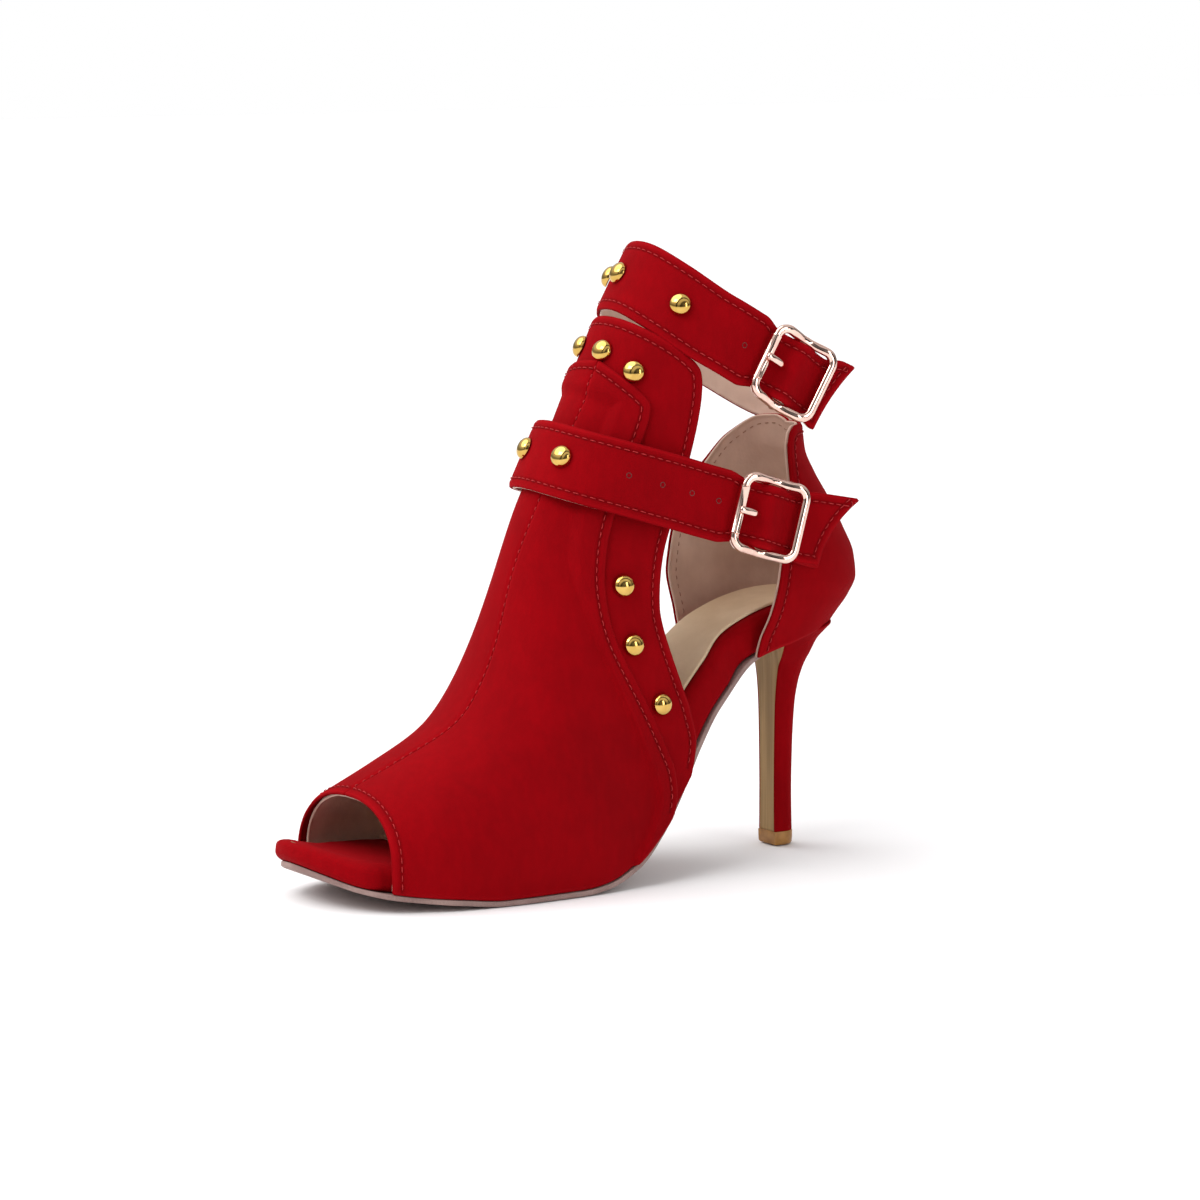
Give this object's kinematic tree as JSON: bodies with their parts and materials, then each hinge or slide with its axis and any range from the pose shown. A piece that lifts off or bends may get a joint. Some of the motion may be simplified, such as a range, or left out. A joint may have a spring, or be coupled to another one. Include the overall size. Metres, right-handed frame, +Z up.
{
  "type": "high heel pump",
  "caption": "Peep-toe shoe boot on a slim high heel, with a cut-away suede upper, an ankle strap and an instep strap closed by roller buckles, and domed studs.",
  "frame": {"origin": "on the ground, under the middle of the shoe's bounding box", "axes": "+Z up; -Y is where the toe points; +X is the outer side of the foot, where the buckles are (left shoe)"},
  "size_m": [0.0824, 0.2232, 0.2149],
  "materials": {
    "outsole": "matt brown-grey moulded sole edge",
    "suede": "deep red suede with a short soft nap",
    "lining": "beige lining leather, fine grain",
    "sock": "tan-beige padded sock, fine grain",
    "board": "fibre board",
    "core": "light packing foam",
    "steel": "plain steel",
    "heel": "moulded heel plastic",
    "breast": "tan stacked-look heel breast",
    "top_piece": "honey-brown hard rubber, slight gloss",
    "gold_stud": "polished gold dome",
    "buckle": "polished pale rose gold plating",
    "stiffener": "thermoplastic sheet"
  },
  "bodies": {
    "shoe": {"outsole": "outsole", "platform_wrap": "suede", "insole_board": "board", "platform_core": "core", "steel_shank": "steel", "sock_lining": "sock", "heel_block": "heel", "heel_cover": "suede", "heel_breast_cover": "breast", "heel_dowel": "steel", "heel_screw": "steel", "heel_nail_1": "steel", "heel_nail_2": "steel", "heel_nail_3": "steel", "heel_nail_4": "steel", "top_piece": "top_piece", "top_piece_pin": "steel", "vamp_outer_side": "suede", "vamp_inner_side": "suede", "stud_panel": "suede", "vamp_lining": "lining", "panel_stud_front_inner": "gold_stud", "panel_stud_front_middle": "gold_stud", "panel_stud_front_outer": "gold_stud", "panel_stud_side_upper": "gold_stud", "panel_stud_side_middle": "gold_stud", "panel_stud_side_lower": "gold_stud", "panel_stud_far_upper": "gold_stud", "panel_stud_far_middle": "gold_stud", "panel_stud_far_lower": "gold_stud", "counter_outer": "suede", "counter_stiffener": "stiffener", "counter_lining": "lining", "ankle_strap": "suede", "ankle_strap_lining": "lining", "ankle_stud_1": "gold_stud", "ankle_stud_2": "gold_stud", "ankle_stud_3": "gold_stud", "instep_strap": "suede", "instep_strap_lining": "lining", "instep_stud_1": "gold_stud", "instep_stud_2": "gold_stud", "ankle_buckle_tab": "suede", "instep_buckle_tab": "suede"},
    "ankle_frame": {"ankle_buckle_frame": "buckle"},
    "ankle_roller": {"ankle_buckle_roller": "buckle"},
    "ankle_prong": {"ankle_buckle_prong": "buckle"},
    "instep_frame": {"instep_buckle_frame": "buckle"},
    "instep_roller": {"instep_buckle_roller": "buckle"},
    "instep_prong": {"instep_buckle_prong": "buckle"}
  },
  "joints": [
    {"name": "ankle_frame_tilt", "type": "hinge", "parent": "shoe", "child": "ankle_frame", "pos_m": [0.03024, 0.06333, 0.17078], "axis": [0.0027, 0.5171, 0.8559], "range_deg": [-3.5, 3.5]},
    {"name": "ankle_roller_spin", "type": "hinge", "parent": "ankle_frame", "child": "ankle_roller", "pos_m": [0.03273, 0.05276, 0.17716], "axis": [0.0027, 0.5171, 0.8559], "continuous": true},
    {"name": "ankle_prong_lift", "type": "hinge", "parent": "ankle_frame", "child": "ankle_prong", "pos_m": [0.03024, 0.06333, 0.17078], "axis": [0.0027, 0.5171, 0.8559], "range_deg": [0, 35]},
    {"name": "instep_frame_tilt", "type": "hinge", "parent": "shoe", "child": "instep_frame", "pos_m": [0.03324, 0.05163, 0.12238], "axis": [-0.0297, 0.2958, 0.9548], "range_deg": [-3.5, 3.5]},
    {"name": "instep_roller_spin", "type": "hinge", "parent": "instep_frame", "child": "instep_roller", "pos_m": [0.03564, 0.03984, 0.12611], "axis": [-0.0297, 0.2958, 0.9548], "continuous": true},
    {"name": "instep_prong_lift", "type": "hinge", "parent": "instep_frame", "child": "instep_prong", "pos_m": [0.03324, 0.05163, 0.12238], "axis": [-0.0297, 0.2958, 0.9548], "range_deg": [0, 35]}
  ]
}
